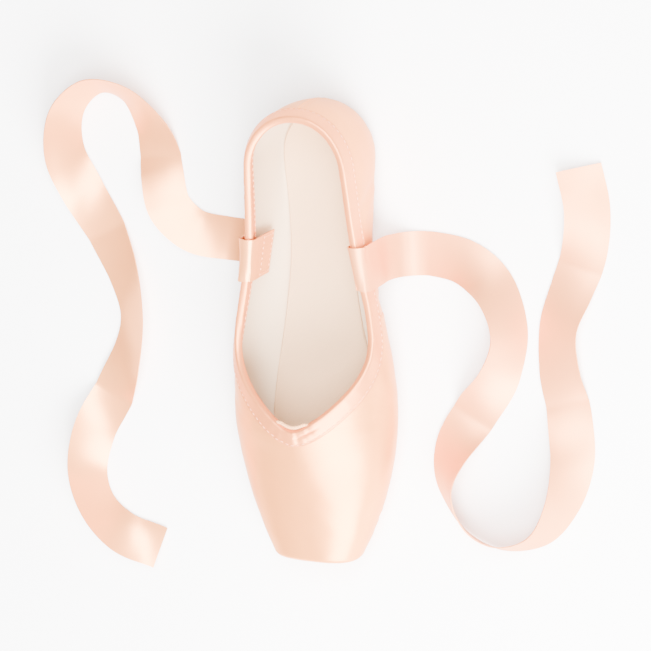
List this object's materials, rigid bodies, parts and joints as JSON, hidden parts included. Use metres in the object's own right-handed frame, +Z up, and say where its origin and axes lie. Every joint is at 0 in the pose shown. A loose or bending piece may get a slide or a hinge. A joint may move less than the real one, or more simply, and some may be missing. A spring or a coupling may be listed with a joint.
{
  "type": "pointe shoe",
  "caption": "Satin ballet pointe shoe with a stiff box and flat oval platform, bound collar, narrow leather sole and sewn-on ribbons, standing empty on its sole.",
  "frame": {"origin": "on the floor under the middle of the shoe's length, on its middle line", "axes": "+X to the toe, +Y to the shoe's left, +Z up"},
  "size_m": [0.2553, 0.2881, 0.0562],
  "materials": {
    "satin": "smooth peach-pink satin, soft broad highlights",
    "binding_satin": "folded peach satin tape with stitching",
    "cotton_cord": "matt thin twisted cotton",
    "sole_leather": "matt tan split leather with a fine nap",
    "insole_board": "plain buff cotton over board",
    "ribbon_satin": "glossy peach-pink satin ribbon"
  },
  "bodies": {
    "root": {"upper": "satin", "binding": "binding_satin", "drawstring": "cotton_cord", "outsole": "sole_leather", "insole": "insole_board", "ribbon_left": "ribbon_satin", "ribbon_right": "ribbon_satin"}
  },
  "joints": []
}
